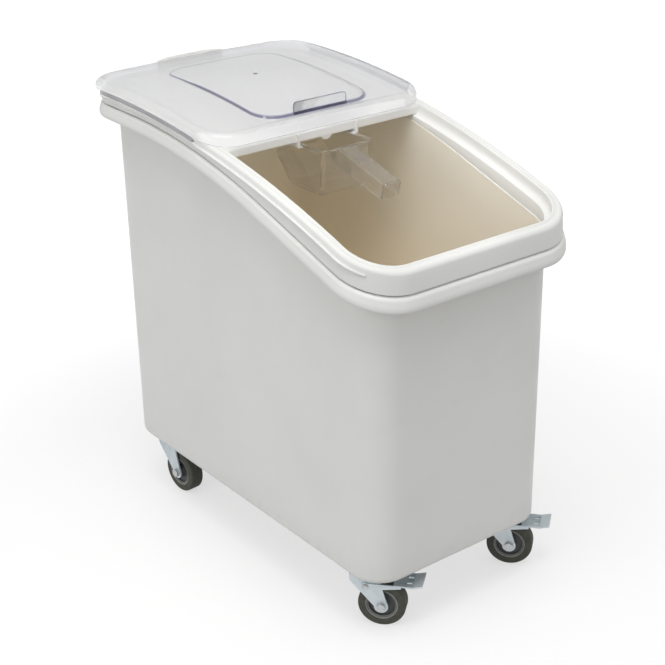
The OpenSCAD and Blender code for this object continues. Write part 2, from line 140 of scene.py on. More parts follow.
def plan_ring(hx, hy, r, corner=12, long_side=40, short_side=12, cy=0.0):
    """Points round a rounded rectangle, each with its outward direction."""
    turns = (
        (1, -1, -90, long_side),
        (1, 1, 0, short_side),
        (-1, 1, 90, long_side),
        (-1, -1, 180, short_side),
    )
    points = []
    for sx, sy, start, side in turns:
        centre = Vector((sx * (hx - r), cy + sy * (hy - r)))
        for i in range(corner + 1):
            a = math.radians(start + 90 * i / corner)
            n = Vector((math.cos(a), math.sin(a)))
            points.append((centre + n * r, n))
        along = Vector((-n.y, n.x))
        length = 2 * (hy - r) if abs(n.x) > 0.5 else 2 * (hx - r)
        for i in range(1, side):
            points.append((points[-1][0] + along * (length / side), n))
    return points


def ring_at(plan, out, height):
    """One ring of a loft: the plan moved outwards, at a height that may follow y."""
    ring = []
    for p, n in plan:
        q = p + n * (out(p.y) if callable(out) else out)
        ring.append((q.x, q.y, height(q.y) if callable(height) else height))
    return ring


def new_mesh(name, bm, material, body, smooth_angle=40):
    """Turns a bmesh into a piece that rides on a body."""
    bmesh.ops.recalc_face_normals(bm, faces=bm.faces)
    mesh = bpy.data.meshes.new(name)
    bm.to_mesh(mesh)
    bm.free()
    for p in mesh.polygons:
        p.use_smooth = True
    mesh.set_sharp_from_angle(angle=math.radians(smooth_angle))
    obj = bpy.data.objects.new(name, mesh)
    bpy.context.scene.collection.objects.link(obj)
    mesh.materials.append(material)
    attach(obj, body)
    return obj


def loft(rings, cap_first=False, cap_last=False, loop=False):
    """Quads between rings of equal count."""
    bm = bmesh.new()
    rows = [[bm.verts.new(p) for p in ring] for ring in rings]
    n = len(rows[0])
    pairs = list(zip(rows, rows[1:]))
    if loop:
        pairs.append((rows[-1], rows[0]))
    for a, b in pairs:
        for i in range(n):
            j = (i + 1) % n
            bm.faces.new((a[i], a[j], b[j], b[i]))
    if cap_first:
        bm.faces.new(rows[0])
    if cap_last:
        bm.faces.new(rows[-1])
    return bm


def sweep(sections):
    """Quads along a row of equal closed sections, with both ends closed."""
    return loft(sections, cap_first=True, cap_last=True)


def block(name, low, high, bevel, material, body, shape=None):
    """A small moulded block with rounded edges; shape may move its points."""
    sharp_angle = 0.6
    bm = bmesh.new()
    bmesh.ops.create_cube(bm, size=1)
    size = Vector(high) - Vector(low)
    mid = (Vector(high) + Vector(low)) / 2
    for v in bm.verts:
        v.co = Vector(a * b for a, b in zip(v.co, size)) + mid
    if shape:
        bmesh.ops.subdivide_edges(bm, edges=bm.edges[:], cuts=6, use_grid_fill=True)
        for v in bm.verts:
            v.co = shape(v.co)
    sharp = [e for e in bm.edges if len(e.link_faces) == 2 and e.calc_face_angle() > sharp_angle]
    bmesh.ops.bevel(bm, geom=sharp, offset=bevel, segments=3, profile=0.5, affect="EDGES")
    return new_mesh(name, bm, material, body)


# Materials

class Nodes:
    """A material's node tree with short ways to add and join nodes."""

    def __init__(self, name):
        self.material = bpy.data.materials.new(name)
        self.material.use_nodes = True
        self.tree = self.material.node_tree
        self.shader = self.tree.nodes["Principled BSDF"]
        self.place = self.add("ShaderNodeTexCoord").outputs["Object"]

    def add(self, kind, **values):
        node = self.tree.nodes.new(kind)
        for key, value in values.items():
            setattr(node, key, value)
        return node

    def join(self, a, b):
        self.tree.links.new(a, b)

    def set(self, **values):
        for key, value in values.items():
            self.shader.inputs[key.replace("_", " ")].default_value = value

    def feed(self, **sockets):
        for key, value in sockets.items():
            self.join(value, self.shader.inputs[key.replace("_", " ")])

    def noise(self, scale, detail=3.0, rough=0.5, stretch=None):
        place = self.place
        if stretch:
            mapping = self.add("ShaderNodeMapping")
            mapping.inputs["Scale"].default_value = stretch
            self.join(place, mapping.inputs["Vector"])
            place = mapping.outputs["Vector"]
        node = self.add("ShaderNodeTexNoise")
        node.inputs["Scale"].default_value = scale
        node.inputs["Detail"].default_value = detail
        node.inputs["Roughness"].default_value = rough
        self.join(place, node.inputs["Vector"])
        return node.outputs["Fac"]

    def span(self, value, low, high, to_low=0.0, to_high=1.0):
        node = self.add("ShaderNodeMapRange", interpolation_type="SMOOTHSTEP")
        for key, number in (("From Min", low), ("From Max", high), ("To Min", to_low), ("To Max", to_high)):
            node.inputs[key].default_value = number
        self.join(value, node.inputs["Value"])
        return node.outputs["Result"]

    def math(self, operation, a, b=None):
        node = self.add("ShaderNodeMath", operation=operation)
        for socket, value in zip(node.inputs, (a, b)):
            if value is None:
                continue
            if isinstance(value, (int, float)):
                socket.default_value = value
            else:
                self.join(value, socket)
        return node.outputs["Value"]

    def sum(self, a, b):
        return self.math("ADD", a, b)

    def times(self, a, b):
        return self.math("MULTIPLY", a, b)

    def most(self, a, b):
        return self.math("MAXIMUM", a, b)

    def mix(self, factor, a, b):
        node = self.add("ShaderNodeMix", data_type="RGBA")
        self.join(factor, node.inputs["Factor"])
        for index, value in ((6, a), (7, b)):
            if isinstance(value, tuple):
                node.inputs[index].default_value = (*value, 1)
            else:
                self.join(value, node.inputs[index])
        return node.outputs[2]

    def bump(self, height, distance, strength=1.0, radius=None):
        node = self.add("ShaderNodeBump")
        node.inputs["Distance"].default_value = distance
        node.inputs["Strength"].default_value = strength
        self.join(height, node.inputs["Height"])
        if radius:
            soft = self.add("ShaderNodeBevel", samples=4)
            soft.inputs["Radius"].default_value = radius
            self.join(soft.outputs["Normal"], node.inputs["Normal"])
        self.join(node.outputs["Normal"], self.shader.inputs["Normal"])

    def xyz(self, vector):
        node = self.add("ShaderNodeSeparateXYZ")
        self.join(vector, node.inputs["Vector"])
        return node.outputs

    def normal(self):
        return self.add("ShaderNodeNewGeometry").outputs["Normal"]

    def edges(self, low, high):
        return self.span(self.add("ShaderNodeNewGeometry").outputs["Pointiness"], low, high)


def white_plastic(name, inside=False):
    """Satin moulded polyethylene with faint flow marks, scuffs and dust low down; inside the tub a painted
    warm light, turning to painted shade deeper down.
    """
    pale, paler = (0.850, 0.850, 0.825), (0.880, 0.880, 0.855)
    scuffed, dusty = (0.80, 0.79, 0.76), (0.62, 0.60, 0.56)
    painted_inside_light, painted_deep_shade = (0.975, 0.930, 0.825), (0.980, 0.890, 0.730)
    n = Nodes(name)
    n.set(IOR=1.5, Specular_IOR_Level=0.42)
    flow = n.noise(5.0, detail=4.0, rough=0.55)
    colour = n.mix(n.span(flow, 0.3, 0.7), pale, paler)
    scuff = n.span(n.noise(26.0, detail=6.0, rough=0.7, stretch=(1.0, 0.25, 1.6)), 0.62, 0.78, 0.0, 0.35)
    colour = n.mix(scuff, colour, scuffed)
    place = n.xyz(n.place)
    dust = n.span(n.noise(60.0, detail=5.0), 0.5, 0.75, 0.0, 0.22)
    colour = n.mix(n.times(n.span(place[2], 0.15, 0.10), dust), colour, dusty)
    # Inside faces and the inner floor get painted warm light near the top and painted shade lower down in
    # the tub
    if inside:
        facing = n.xyz(n.normal())
        inward = n.sum(n.times(facing[0], place[0]), n.times(facing[1], place[1]))
        floor = n.times(n.span(facing[2], 0.4, 0.9), n.span(place[2], 0.30, 0.20))
        inner = n.most(n.span(inward, 0.0, -0.08), floor)
        colour = n.mix(inner, colour, n.mix(n.span(place[2], 0.70, 0.30), painted_inside_light, painted_deep_shade))
    grain = n.noise(900.0, detail=2.0)
    rough = n.span(n.noise(14.0, detail=5.0), 0.3, 0.75, 0.36, 0.50)
    n.feed(Base_Color=colour, Roughness=n.sum(rough, n.times(scuff, 0.25)))
    waves = n.noise(7.0, detail=2.0)
    n.bump(n.sum(n.times(grain, 0.25), waves), 0.0009, strength=0.35, radius=0.0016)
    return n.material


def clear_plastic(name, tint, edge, thin, thick):
    """Clear moulding: face-on it lets the light through, edge-on it deepens; fine scratches dull it."""
    n = Nodes(name)
    n.set(Transmission_Weight=1.0, IOR=1.45, Specular_IOR_Level=0.5)
    weight = n.add("ShaderNodeLayerWeight")
    weight.inputs["Blend"].default_value = 0.5
    grazing = n.span(weight.outputs["Facing"], 0.45, 0.95)
    colour = n.mix(n.most(grazing, n.edges(0.54, 0.62)), tint, edge)
    scratch = n.span(n.noise(60.0, detail=6.0, rough=0.75, stretch=(1.0, 14.0, 1.0)), 0.66, 0.80)
    rough = n.sum(n.span(n.noise(9.0, detail=4.0), 0.3, 0.7, 0.03, 0.07), n.times(scratch, 0.16))
    cover = n.sum(n.times(grazing, thick - thin), n.sum(n.times(scratch, 0.05), thin))
    n.feed(Base_Color=colour, Roughness=rough, Alpha=cover)
    n.bump(n.sum(n.noise(11.0, detail=2.0), n.times(scratch, 0.05)), 0.0006, strength=0.22)
    return n.material


def zinc_steel(name):
    """Bright zinc plating with a bluish spangle, dull stains and a painted highlight along its edges."""
    dull, bright = (0.30, 0.37, 0.41), (0.42, 0.50, 0.54)
    stained, painted_edge_highlight = (0.36, 0.38, 0.35), (0.66, 0.72, 0.75)
    n = Nodes(name)
    n.set(Metallic=0.6, IOR=1.5)
    spangle = n.add("ShaderNodeTexVoronoi", feature="F1")
    spangle.inputs["Scale"].default_value = 260.0
    n.join(n.place, spangle.inputs["Vector"])
    tone = n.xyz(spangle.outputs["Color"])[0]
    stain = n.span(n.noise(45.0, detail=5.0, rough=0.6), 0.52, 0.72, 0.0, 0.5)
    colour = n.mix(stain, n.mix(tone, dull, bright), stained)
    # Painted highlight: sharp edges are coloured pale, as if they catch the light
    colour = n.mix(n.edges(0.53, 0.62), colour, painted_edge_highlight)
    rough = n.sum(n.span(n.noise(70.0, detail=5.0), 0.3, 0.7, 0.38, 0.52), n.times(stain, 0.25))
    n.feed(Base_Color=colour, Roughness=rough)
    n.bump(n.sum(n.times(tone, 0.3), n.noise(400.0)), 0.0003, strength=0.25, radius=0.0005)
    return n.material


def plain_steel(name):
    """Turned steel with fine lathe lines and a little tarnish."""
    dark, bright, tarnished = (0.44, 0.45, 0.46), (0.60, 0.61, 0.62), (0.33, 0.29, 0.25)
    n = Nodes(name)
    n.set(Metallic=1.0, IOR=1.5)
    lines = n.noise(300.0, detail=4.0, rough=0.6, stretch=(6.0, 0.5, 0.5))
    tarnish = n.span(n.noise(90.0, detail=5.0), 0.55, 0.75, 0.0, 0.6)
    colour = n.mix(tarnish, n.mix(n.span(lines, 0.3, 0.7), dark, bright), tarnished)
    n.feed(Base_Color=colour, Roughness=n.span(lines, 0.3, 0.7, 0.24, 0.45))
    n.bump(lines, 0.0002, strength=0.3, radius=0.0003)
    return n.material


def tyre_rubber(name):
    """Grey thermoplastic rubber with patches of dust."""
    dark, pale, dusty = (0.074, 0.076, 0.060), (0.106, 0.106, 0.088), (0.23, 0.22, 0.19)
    n = Nodes(name)
    n.set(IOR=1.5, Specular_IOR_Level=0.3)
    mottle = n.noise(120.0, detail=5.0, rough=0.6)
    dust = n.span(n.noise(40.0, detail=6.0, rough=0.7), 0.55, 0.75, 0.0, 0.45)
    colour = n.mix(dust, n.mix(n.span(mottle, 0.35, 0.7), dark, pale), dusty)
    n.feed(Base_Color=colour, Roughness=n.span(mottle, 0.3, 0.7, 0.62, 0.82))
    grain = n.times(n.noise(700.0, detail=2.0), 0.5)
    n.bump(n.sum(mottle, grain), 0.0005, strength=0.4, radius=0.0006)
    return n.material


def core_plastic(name):
    """Dark grey moulded wheel centre, scuffed along its edges."""
    dark, pale, scuffed = (0.075, 0.076, 0.078), (0.105, 0.106, 0.107), (0.24, 0.24, 0.23)
    n = Nodes(name)
    n.set(IOR=1.5, Specular_IOR_Level=0.4)
    mottle = n.noise(80.0, detail=5.0)
    colour = n.mix(n.edges(0.52, 0.60), n.mix(n.span(mottle, 0.3, 0.7), dark, pale), scuffed)
    n.feed(Base_Color=colour, Roughness=n.span(mottle, 0.3, 0.7, 0.42, 0.58))
    n.bump(n.noise(600.0, detail=2.0), 0.0003, strength=0.3, radius=0.0005)
    return n.material


def seal_ring(name):
    """Pale moulded ring between wheel centre and tyre."""
    dark, pale = (0.26, 0.26, 0.25), (0.36, 0.36, 0.34)
    n = Nodes(name)
    n.set(IOR=1.5)
    mottle = n.noise(150.0, detail=4.0)
    colour = n.mix(n.span(mottle, 0.3, 0.7), dark, pale)
    n.feed(Base_Color=colour, Roughness=n.span(mottle, 0.3, 0.7, 0.45, 0.6))
    n.bump(mottle, 0.0002, strength=0.3)
    return n.material


WHITE = white_plastic("white_body", inside=True)
FRAME_WHITE = white_plastic("white_frame")
CLEAR_LID = clear_plastic("clear_lid", (0.930, 0.933, 0.950), (0.80, 0.81, 0.88), 0.48, 0.85)
CLEAR_EDGE = clear_plastic("clear_edge", (0.16, 0.15, 0.26), (0.10, 0.10, 0.20), 0.85, 0.97)
SKIRT_EDGE = clear_plastic("clear_skirt", (0.38, 0.38, 0.42), (0.24, 0.24, 0.28), 0.70, 0.92)
CLEAR_SCOOP = clear_plastic("clear_scoop", (0.98, 0.98, 0.98), (0.98, 0.97, 0.96), 0.40, 0.92)
ZINC = zinc_steel("zinc_steel")
STEEL = plain_steel("plain_steel")
TYRE = tyre_rubber("tyre_rubber")
CORE = core_plastic("core_plastic")
RING = seal_ring("seal_ring")

BASE_PLAN = plan_ring(BOT_HX, BOT_HY, BOT_R)


# Tub

def wall_out(z):
    """Outward growth of the drafted wall at height z."""
    return DRAFT * (z - BOT_Z)


def tub():
    """Drafted tub with a rounded foot, a rolled lip and an inside floor."""
    levels = 14
    cap_inset = 0.045
    foot_r, foot_out, foot_dish = 0.010, 0.0003, 0.0006
    floor_r = 0.012
    wall_end, edge_drop = 0.003, 0.001
    foot = BOT_Z + foot_r
    bottom = BOT_Z + FLOOR_T
    under = LIP_H - LIP_WALL

    underside = [(-cap_inset, BOT_Z + foot_dish)]
    underside += quarter(-foot_r, BOT_Z, foot_out, foot)
    rings = [ring_at(BASE_PLAN, out, z) for out, z in underside]
    for i in range(1, levels + 1):
        height = lambda y, k=i / levels: foot + (rim(y, under) - wall_end - foot) * k
        rings.append(ring_at(BASE_PLAN, lambda y, h=height: wall_out(h(y)), height))
    lip = [
        (0.0040, under - 0.0010), (0.0065, under),
        (LIP_OUT - 0.0060, under), (LIP_OUT - LIP_WALL, under - 0.0020),
        (LIP_OUT - LIP_WALL, 0.0015), (LIP_OUT - 0.0035, 0.0004), (LIP_OUT - 0.0020, 0.0),
        (LIP_OUT - 0.0006, 0.0008), (LIP_OUT, 0.0028),
        (LIP_OUT - 0.0003, 0.0070), (LIP_OUT - 0.0012, 0.0105),
    ]
    lip += quarter(LIP_OUT - 0.0024, 0.0135, LIP_OUT - 0.0095, LIP_H, first="z")
    lip += [(0.012, LIP_H), (0.0, LIP_H)]
    for out, up in lip:
        rings.append(ring_at(BASE_PLAN, out, lambda y, u=up: rim(y, u)))
    top = lambda y: rim(y, LIP_H) - edge_drop
    for i in range(levels + 1):
        height = lambda y, k=i / levels: top(y) + (bottom + floor_r - top(y)) * k
        rings.append(ring_at(BASE_PLAN, lambda y, h=height: wall_out(h(y)) - WALL, height))
    for out, z in quarter(-WALL, bottom + floor_r, -WALL - floor_r, bottom, first="z")[1:]:
        rings.append(ring_at(BASE_PLAN, out, z))
    rings.append(ring_at(BASE_PLAN, -cap_inset, bottom))
    piece = new_mesh("tub_shell", loft(rings, True, True), WHITE, "base")
    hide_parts("tub")


def floor_bosses():
    """Round bosses on the inside floor that take the caster screws."""
    edge_r = 0.0015
    floor = BOT_Z + FLOOR_T
    top = BOT_Z + BOSS_H
    profile = [
        (BOSS_R + 0.0015, floor - 0.0005),
        (BOSS_R + 0.0004, floor + 0.0008),
        (BOSS_R, floor + 0.0025),
    ]
    profile += quarter(BOSS_R, top - edge_r, BOSS_R - edge_r, top, first="z")
    turn = full_turn(32)
    for caster in CASTERS:
        x0, y0, _ = JOINTS["swivel_" + caster]["pos_m"]
        for i, (sx, sy) in enumerate(((-1, -1), (1, -1), (-1, 1), (1, 1))):
            x, y = x0 + sx * SCREW_A, y0 + sy * SCREW_A
            rings = [[(x + r * math.cos(a), y + r * math.sin(a), z) for a in turn] for r, z in profile]
            piece = new_mesh(f"tub_boss_{caster}_{i}", sweep(rings), WHITE, "base")
            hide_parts("tub")


# Top frame

def frame_ring():
    """The frame's ring: outer skirt, rounded top with a groove, stepped inner wall down to the sill."""
    skirt = LIP_H + REVEAL
    edge = -0.0052
    groove = -0.0016
    outer, inner, sill_back = FRAME_OUT - FRAME_T, FRAME_IN + FRAME_T, SILL_IN + FRAME_T
    sill_under = -SILL_DROP - 0.0022

    low = [(outer, skirt), (FRAME_OUT - 0.0022, skirt), (FRAME_OUT, skirt + 0.0015)]
    rings = [ring_at(BASE_PLAN, out, lambda y, u=up: rim(y, u)) for out, up in low]
    for share, lean in ((0.2, 0.0001), (0.4, 0.0003), (0.6, 0.0006), (0.8, 0.0010)):
        height = lambda y, k=share: rim(y, skirt) * (1 - k) + arc(y, edge) * k
        rings.append(ring_at(BASE_PLAN, FRAME_OUT - lean, height))
    top = quarter(FRAME_OUT - 0.0014, edge, FRAME_OUT - 0.0066, 0.0, first="z")
    top += [
        (FRAME_OUT - 0.0092, 0.0), (FRAME_OUT - 0.0102, -0.0004), (FRAME_OUT - 0.0108, groove),
        (FRAME_IN + 0.0050, groove), (FRAME_IN + 0.0042, -0.0005), (FRAME_IN + 0.0032, 0.0),
    ]
    top += quarter(FRAME_IN + 0.0026, 0.0, FRAME_IN, -0.0026)
    top += [
        (FRAME_IN - 0.0004, -0.0080), (FRAME_IN - 0.0014, -0.0125),
        (FRAME_IN - 0.0036, -0.0155), (FRAME_IN - 0.0070, -0.0168),
        (SILL_IN + 0.0018, -SILL_DROP), (SILL_IN + 0.0005, -SILL_DROP - 0.0005),
        (SILL_IN, -SILL_DROP - 0.0016),
    ]
    for out, up in top:
        rings.append(ring_at(BASE_PLAN, out, lambda y, u=up: arc(y, u)))
    for out in (SILL_IN, sill_back):
        rings.append(ring_at(BASE_PLAN, out, lambda y: rim(y, LIP_H)))
    hollow = ((sill_back, sill_under), (inner, sill_under), (inner, -CREST_T), (outer, -CREST_T))
    for out, up in hollow:
        rings.append(ring_at(BASE_PLAN, out, lambda y, u=up: arc(y, u)))
    piece = new_mesh("frame_ring", loft(rings, loop=True), FRAME_WHITE, "base")
    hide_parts("top_frame")


def deck_half_width(y):
    """Half width of the deck inside the ring, narrowing round the rear corners."""
    lap = 0.001
    hx, hy, r = BOT_HX + FRAME_IN + lap, BOT_HY + FRAME_IN + lap, BOT_R + FRAME_IN
    past = y - (hy - r)
    if past <= 0:
        return hx
    return hx - r + math.sqrt(max(r * r - past * past, 1e-8))


def deck():
    """Fixed rear deck with a rolled front apron."""
    steps, columns = 48, 12
    roll, edge = 0.004, 0.0012
    rear = BOT_HY + FRAME_IN - roll
    front, behind, fore = DECK_Y + roll, DECK_Y + FRAME_T, DECK_Y + 2 * FRAME_T
    front_z = arc(DECK_Y, -DECK_SET)
    bottom = arc(DECK_Y, -DECK_DROP)

    path = []
    for i in range(steps + 1):
        y = rear + (front - rear) * i / steps
        path.append((y, arc(y, -DECK_SET)))
    path += quarter(front, front_z, DECK_Y, front_z - roll)[1:]
    path += [(DECK_Y, bottom + edge), (DECK_Y + edge, bottom), (DECK_Y + 0.0022, bottom)]
    path += [(behind, bottom + edge), (behind, arc(DECK_Y, -0.0075))]
    for i in range(steps + 1):
        y = fore + (rear - fore) * i / steps
        path.append((y, arc(y, -DECK_SET - DECK_T)))
    sections = []
    for c in range(columns + 1):
        side = 2 * c / columns - 1
        sections.append([(side * deck_half_width(y), y, z) for y, z in path])
    piece = new_mesh("frame_deck", sweep(sections), FRAME_WHITE, "base")
    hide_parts("top_frame")


def side_rails():
    """Thin guide rib along each long side, running out round the front corner."""
    y_front, y_rear = RAIL_END_Y + 0.01, 0.33
    facing = 0.3
    first_step, front_steps, rear_steps = 0.4, 4, 2
    sunk, edge = -0.001, 0.0006
    low, high = -RAIL_TOP - RAIL_H, -RAIL_TOP
    corners = (
        (sunk, low), (RAIL_OUT - edge, low), (RAIL_OUT, low + edge),
        (RAIL_OUT, high - edge), (RAIL_OUT - edge, high), (sunk, high),
    )
    for side, name in SIDES:
        track = [(p, n) for p, n in BASE_PLAN if n.x * side > facing and y_front < p.y < y_rear]
        track.sort(key=lambda item: item[0].y)
        last = len(track) - 1
        sections = []
        for i, (p, n) in enumerate(track):
            grow = min(1.0, (i + first_step) / front_steps, (last - i + first_step) / rear_steps)
            section = []
            for out, up in corners:
                q = p + n * (FRAME_OUT + (out if out < 0 else out * grow))
                section.append((q.x, q.y, arc(q.y, up)))
            sections.append(section)
        piece = new_mesh("rail_" + name, sweep(sections), FRAME_WHITE, "base")
        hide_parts("top_frame")


def frame_block(name, low, high, bevel, shape=None):
    """A block that belongs to the top frame."""
    piece = block(name, low, high, bevel, FRAME_WHITE, "base", shape)
    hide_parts("top_frame")


def scoop_rails():
    """Angle rails under the deck that carry the scoop by its flanges, each with a stop at its rear."""
    foot = SCOOP_TOP - FLANGE_T - FRAME_T
    toe_top, end_top, web_top = foot + FRAME_T, foot + 0.014, DECK_Z + 0.012
    web_from, web_in = foot + 0.01, 0.0035
    front, stop_y = DECK_Y - 2 * FRAME_T, SCOOP_Y1 + 0.0005
    rear = stop_y + FRAME_T
    web_edge, toe_edge = 0.0006, 0.0008
    flange = SCOOP_HX + FLANGE_W
    web_gap, toe_gap, toe_lap = 0.001, 0.002, 0.0035

    def under_deck(co):
        return Vector((co.x, co.y, co.z if co.z < web_from else min(co.z, arc(co.y, -web_in))))

    for side, name in SIDES:
        w0, w1 = sorted((side * (flange + web_gap), side * (flange + web_gap + FRAME_T)))
        t0, t1 = sorted((side * (SCOOP_HX + toe_gap), side * (flange + toe_lap)))
        frame_block("scoop_rail_web_" + name, (w0, front, foot), (w1, rear, web_top), web_edge, under_deck)
        frame_block("scoop_rail_toe_" + name, (t0, front, foot), (t1, rear, toe_top), toe_edge)
        frame_block("scoop_rail_end_" + name, (t0, stop_y, foot), (t1, rear, end_top), toe_edge)


def deck_tab():
    """Half-round tab in the middle of the deck's apron."""
    tab_drop = 0.010
    tab_z = DECK_Z - tab_drop
    turn = [math.radians(a) for a in range(-180, 1, 12)]
    sections = []
    for back, scale in ((0.0004, 0.94), (0.0008, 1.0), (0.0022, 1.0), (0.0026, 0.94)):
        r = TAB_R * scale
        sections.append([(r * math.cos(a), DECK_Y + back, tab_z + r * math.sin(a)) for a in turn])
    piece = new_mesh("deck_tab", sweep(sections), FRAME_WHITE, "base")
    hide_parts("top_frame")


def rear_stop():
    """Low upstand in the middle of the rear edge, a little lower toward its ends."""
    inset, sunk, height, edge = 0.0055, 0.001, 0.0185, 0.0012
    end_fall = 0.18
    front = BOT_HY + FRAME_OUT - inset
    foot = arc(front) - sunk
    low, high = (-STOP_HX, front, foot), (STOP_HX, front + STOP_T, foot + height)

    def crowned(co):
        fall = 1 - end_fall * (abs(co.x) / STOP_HX) ** 4
        return Vector((co.x, co.y, foot + (co.z - foot) * fall))

    frame_block("rear_stop_bar", low, high, edge, crowned)


# Lid

def lid_height(x, y):
    """Top of the lid's plate: it follows the rails, raised toward its front and crowned across."""
    tilt = LID_TILT * (LID_REAR - y) / (LID_REAR - LID_FRONT)
    return arc(y, LID_UP + LID_T + tilt) - LID_CROWN * (x / LID_HX) ** 2


def panel_rise(y):
    """Height of the raised panel, which runs out into the plate toward the rear."""
    run_out, least = 0.16, 0.2
    k = min(1.0, max(0.0, (PANEL_Y1 - y) / run_out))
    return PANEL_H * (least + (1 - least) * k * k * (3 - 2 * k))


def lid_plate():
    """Clear lid: a shallow tray upside down with round shoulders and a raised panel, one closed skin."""
    count = {"corner": 14, "long_side": 36, "short_side": 30}
    mid, hy = (LID_FRONT + LID_REAR) / 2, (LID_REAR - LID_FRONT) / 2
    panel_mid, panel_hy = (PANEL_Y0 + PANEL_Y1) / 2, (PANEL_Y1 - PANEL_Y0) / 2
    outer = plan_ring(LID_HX, hy, LID_R, cy=mid, **count)
    panel = plan_ring(PANEL_HX, panel_hy, PANEL_R, cy=panel_mid, **count)
    wall, r = LID_T, LID_SHOULDER
    plate_in, panel_out = LID_SHOULDER + 0.002, 0.006

    def on_plate(points, rise, up):
        return [(p.x, p.y, lid_height(p.x, p.y) + panel_rise(p.y) * rise + up) for p in points]

    def between(share, up):
        points = []
        for (p, n), (q, m) in zip(outer, panel):
            points.append((p - n * plate_in) * (1 - share) + (q + m * panel_out) * share)
        return on_plate(points, 0.0, up)

    def inner(scale, up):
        points = [Vector((q.x * scale, panel_mid + (q.y - panel_mid) * scale)) for q, _ in panel]
        return on_plate(points, 1.0, up)

    def shoulder(out, up):
        return on_plate([p + n * out for p, n in outer], 0.0, up)

    def step(out, rise, up):
        return on_plate([q + m * out for q, m in panel], rise, up)

    def foot(out, up):
        return ring_at(outer, out, lambda y: arc(y, up))

    shares = (0.0, 0.2, 0.4, 0.6, 0.8, 1.0)
    scales = (0.92, 0.75, 0.55, 0.35, 0.18, 0.05)
    step_under = (
        (-0.0060, 1.0), (-0.0036, 0.9), (-0.0028, 0.6), (-0.0024, 0.3), (-0.0010, 0.05), (0.0020, 0.0),
    )
    step_over = (
        (0.0025, 0.0), (0.0010, 0.12), (0.0, 0.45), (-0.0006, 0.8), (-0.0018, 0.97), (-0.0040, 1.0),
    )
    rim_foot = ((-wall, 0.0008), (-wall + 0.0006, 0.0), (-0.0006, 0.0), (0.0, 0.0008))
    rings = [inner(scale, -wall) for scale in reversed(scales)]
    rings += [step(out, rise, -wall) for out, rise in step_under]
    rings += [between(share, -wall) for share in reversed(shares)]
    rings += [shoulder(out - wall, up - wall) for out, up in quarter(-r, 0.0, 0.0, -r + wall)]
    rings += [foot(out, LID_LIFT + up) for out, up in rim_foot]
    rings += [shoulder(out, up) for out, up in quarter(0.0, -r, -r, 0.0, first="z")]
    rings += [between(share, 0.0) for share in shares]
    rings += [step(out, rise, 0.0) for out, rise in step_over]
    rings += [inner(scale, 0.0) for scale in scales]
    piece = new_mesh("lid_plate", loft(rings, True, True), CLEAR_LID, "lid", 60)
    piece.data.materials.append(CLEAR_EDGE)

    # The panel's step shows as a darker line, except at its rear
    step_from, step_to, steep, rear_end = 0.9, 1.04, 0.93, PANEL_Y1 - 0.02
    for face in piece.data.polygons:
        x, y, _ = face.center
        past = max(abs(x) / PANEL_HX, abs(y - panel_mid) / panel_hy)
        if step_from < past < step_to and abs(face.normal.z) < steep and y < rear_end:
            face.material_index = 1
    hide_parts("lid")


def lid_skirts():
    """Low side skirts, each with an inward foot that guides the lid along the frame's outer face."""
    steps = 30
    rear = LID_REAR - LID_R
    inside = BOT_HX + FRAME_OUT + FOOT_GAP
    top, low = LID_LIFT + 0.0012, SKIRT_LOW
    foot_top = low + FOOT_T
    edge, corner = 0.0008, 0.0010
    outline = (
        (LID_HX, top), (LID_HX, low + corner), (LID_HX - corner, low),
        (inside + edge, low), (inside, low + edge), (inside, foot_top - edge), (inside + edge, foot_top),
        (LID_HX - 0.0030, foot_top), (LID_HX - SKIRT_T, foot_top + 0.0006), (LID_HX - SKIRT_T, top),
    )
    for side, name in SIDES:
        sections = []
        for i in range(steps + 1):
            y = SKIRT_FRONT + (rear - SKIRT_FRONT) * i / steps
            sections.append([(side * x, y, arc(y, up)) for x, up in outline])
        piece = new_mesh("lid_skirt_" + name, sweep(sections), SKIRT_EDGE, "lid")
        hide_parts("lid")


def lid_pull():
    """Upright finger pull with round top corners and a thick foot."""
    base = lid_height(0.0, PANEL_Y0) + PANEL_H / 2
    top = base + PANEL_H / 2 + PULL_H
    edge, shrunk = 0.0006, 0.0008
    flat_face = 0.9

    def outline(shrink):
        hx, r = PULL_HX - shrink, PULL_R - shrink
        return mirrored([(-hx, base)] + round_corner(hx, top - shrink, r, 8))

    sections = []
    for back, shrink in ((0.0, shrunk), (edge, 0.0), (PULL_T - edge, 0.0), (PULL_T, shrunk)):
        sections.append([(x, PANEL_Y0 + back, z) for x, z in outline(shrink)])
    piece = new_mesh("lid_pull_tab", sweep(sections), CLEAR_LID, "lid")
    piece.data.materials.append(CLEAR_EDGE)
    for face in piece.data.polygons:
        if abs(face.normal.y) < flat_face:
            face.material_index = 1
    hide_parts("lid")
    before, behind, below, above, foot_edge = 0.0016, 0.0004, 0.0022, 0.0018, 0.0008
    low = (-PULL_HX, PANEL_Y0 - before, base - below)
    high = (PULL_HX, PANEL_Y0 + behind, base + above)
    piece = block("lid_pull_foot", low, high, foot_edge, CLEAR_EDGE, "lid")
    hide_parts("lid")


def gate_mark():
    """Small round mark that the mould's gate leaves on the panel."""
    level = lid_height(0.0, GATE_Y) + panel_rise(GATE_Y)
    profile = ((GATE_R, -0.0003), (GATE_R, 0.0003), (0.0036, 0.0006), (0.0022, 0.0006), (0.0018, 0.0002))
    turn = full_turn(24)
    rings = [[(r * math.cos(a), GATE_Y + r * math.sin(a), level + up) for a in turn] for r, up in profile]
    piece = new_mesh("lid_gate_mark", sweep(rings), SKIRT_EDGE, "lid")
    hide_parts("lid")


# Scoop

